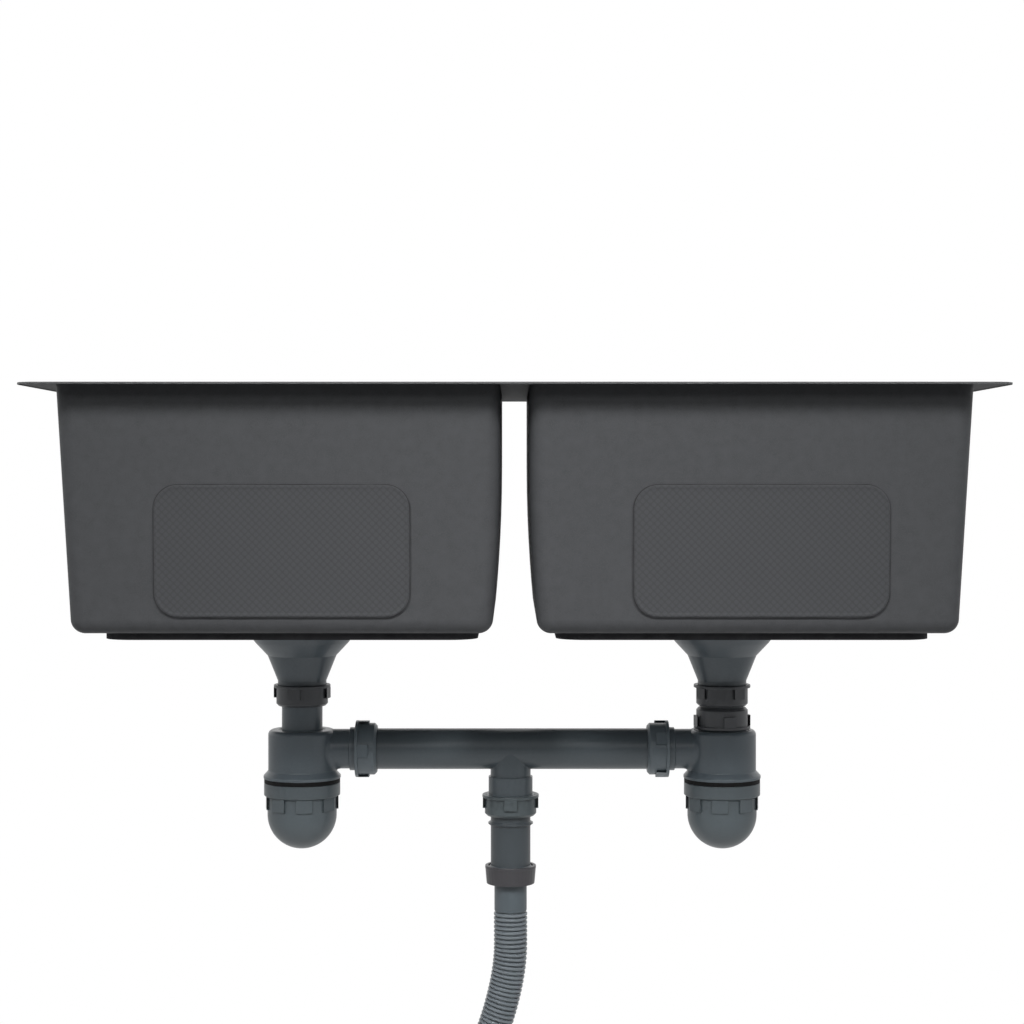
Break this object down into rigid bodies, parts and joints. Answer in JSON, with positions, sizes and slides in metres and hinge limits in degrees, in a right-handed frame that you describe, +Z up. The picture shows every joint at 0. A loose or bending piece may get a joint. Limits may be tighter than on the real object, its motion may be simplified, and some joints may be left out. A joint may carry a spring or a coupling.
{
  "type": "double bowl kitchen sink",
  "caption": "Rectangular top-mounted sink with deep side-by-side bowls, lift-out basket strainers, bottle traps on a shared cross pipe and a hanging ribbed drain hose.",
  "frame": {"origin": "on the underside of the deck, in the middle of the bridge between the bowls", "axes": "+X to the right and +Y to the back for someone standing in front of the sink, +Z up"},
  "size_m": [0.87, 0.44, 0.8252],
  "materials": {
    "coated_steel": "satin dark grey coating, fine speckle",
    "wall_pad": "matt, fine diamond texture",
    "floor_pad": "matt black",
    "strainer_steel": "brushed",
    "seal_rubber": "matt black",
    "pipe_plastic": "satin moulded",
    "cup_plastic": "satin moulded",
    "nut_plastic": "satin moulded",
    "hose_plastic": "satin moulded"
  },
  "bodies": {
    "sink": {"deck": "coated_steel", "left_bowl": "coated_steel", "right_bowl": "coated_steel", "left_front_pad": "wall_pad", "left_rear_pad": "wall_pad", "right_front_pad": "wall_pad", "right_rear_pad": "wall_pad", "left_floor_pad": "floor_pad", "right_floor_pad": "floor_pad", "left_strainer_dish": "strainer_steel", "left_clamp_screw": "strainer_steel", "right_strainer_dish": "strainer_steel", "right_clamp_screw": "strainer_steel", "left_rim_seal": "seal_rubber", "left_waste_seal": "seal_rubber", "left_inlet_washer": "seal_rubber", "left_cup_gasket": "seal_rubber", "left_arm_washer": "seal_rubber", "right_rim_seal": "seal_rubber", "right_waste_seal": "seal_rubber", "right_inlet_washer": "seal_rubber", "right_cup_gasket": "seal_rubber", "right_arm_washer": "seal_rubber", "right_trap_washer": "seal_rubber", "branch_washer": "seal_rubber", "hose_washer": "seal_rubber", "left_waste_funnel": "pipe_plastic", "left_trap_body": "pipe_plastic", "right_waste_funnel": "pipe_plastic", "right_trap_body": "pipe_plastic", "cross_pipe": "pipe_plastic", "left_dip_tube": "pipe_plastic", "right_inlet_tube": "pipe_plastic", "drop_tube": "pipe_plastic", "drain_hose": "hose_plastic", "hose_end_spigot": "hose_plastic"},
    "left_strainer_basket": {"left_basket": "strainer_steel", "left_basket_stopper": "seal_rubber", "left_basket_knob": "strainer_steel"},
    "left_inlet_coupling": {"left_inlet_nut": "nut_plastic"},
    "left_cup": {"left_trap_cup": "cup_plastic"},
    "left_arm_coupling": {"left_arm_nut": "nut_plastic"},
    "right_strainer_basket": {"right_basket": "strainer_steel", "right_basket_stopper": "seal_rubber", "right_basket_knob": "strainer_steel"},
    "right_inlet_coupling": {"right_inlet_nut": "nut_plastic"},
    "right_cup": {"right_trap_cup": "cup_plastic"},
    "right_arm_coupling": {"right_arm_nut": "nut_plastic"},
    "right_trap_coupling": {"right_trap_nut": "nut_plastic"},
    "branch_coupling": {"branch_nut": "cup_plastic"},
    "hose_coupling": {"hose_nut": "hose_plastic"}
  },
  "joints": [
    {"name": "left_basket_lift", "type": "slide", "parent": "sink", "child": "left_strainer_basket", "axis": [0, 0, 1], "range_m": [0, 0.25]},
    {"name": "left_inlet_coupling_turn", "type": "hinge", "parent": "sink", "child": "left_inlet_coupling", "pos_m": [-0.2099, 0.043, -0.2966], "axis": [0, 0, 1], "continuous": true},
    {"name": "left_cup_turn", "type": "hinge", "parent": "sink", "child": "left_cup", "pos_m": [-0.2099, 0.043, -0.41], "axis": [0, 0, 1], "continuous": true},
    {"name": "left_arm_coupling_turn", "type": "hinge", "parent": "sink", "child": "left_arm_coupling", "pos_m": [-0.1462, 0.043, -0.3499], "axis": [1, 0, 0], "continuous": true},
    {"name": "right_basket_lift", "type": "slide", "parent": "sink", "child": "right_strainer_basket", "axis": [0, 0, 1], "range_m": [0, 0.25]},
    {"name": "right_inlet_coupling_turn", "type": "hinge", "parent": "sink", "child": "right_inlet_coupling", "pos_m": [0.2051, 0.043, -0.2966], "axis": [0, 0, 1], "continuous": true},
    {"name": "right_cup_turn", "type": "hinge", "parent": "sink", "child": "right_cup", "pos_m": [0.2051, 0.043, -0.41], "axis": [0, 0, 1], "continuous": true},
    {"name": "right_arm_coupling_turn", "type": "hinge", "parent": "sink", "child": "right_arm_coupling", "pos_m": [0.1414, 0.043, -0.3499], "axis": [1, 0, 0], "continuous": true},
    {"name": "right_trap_coupling_turn", "type": "hinge", "parent": "sink", "child": "right_trap_coupling", "pos_m": [0.2051, 0.043, -0.3191], "axis": [0, 0, 1], "continuous": true},
    {"name": "branch_coupling_turn", "type": "hinge", "parent": "sink", "child": "branch_coupling", "pos_m": [-0.0039, 0.043, -0.405], "axis": [0, 0, 1], "continuous": true},
    {"name": "hose_coupling_turn", "type": "hinge", "parent": "sink", "child": "hose_coupling", "pos_m": [-0.0039, 0.043, -0.4735], "axis": [0, 0, 1], "continuous": true}
  ]
}
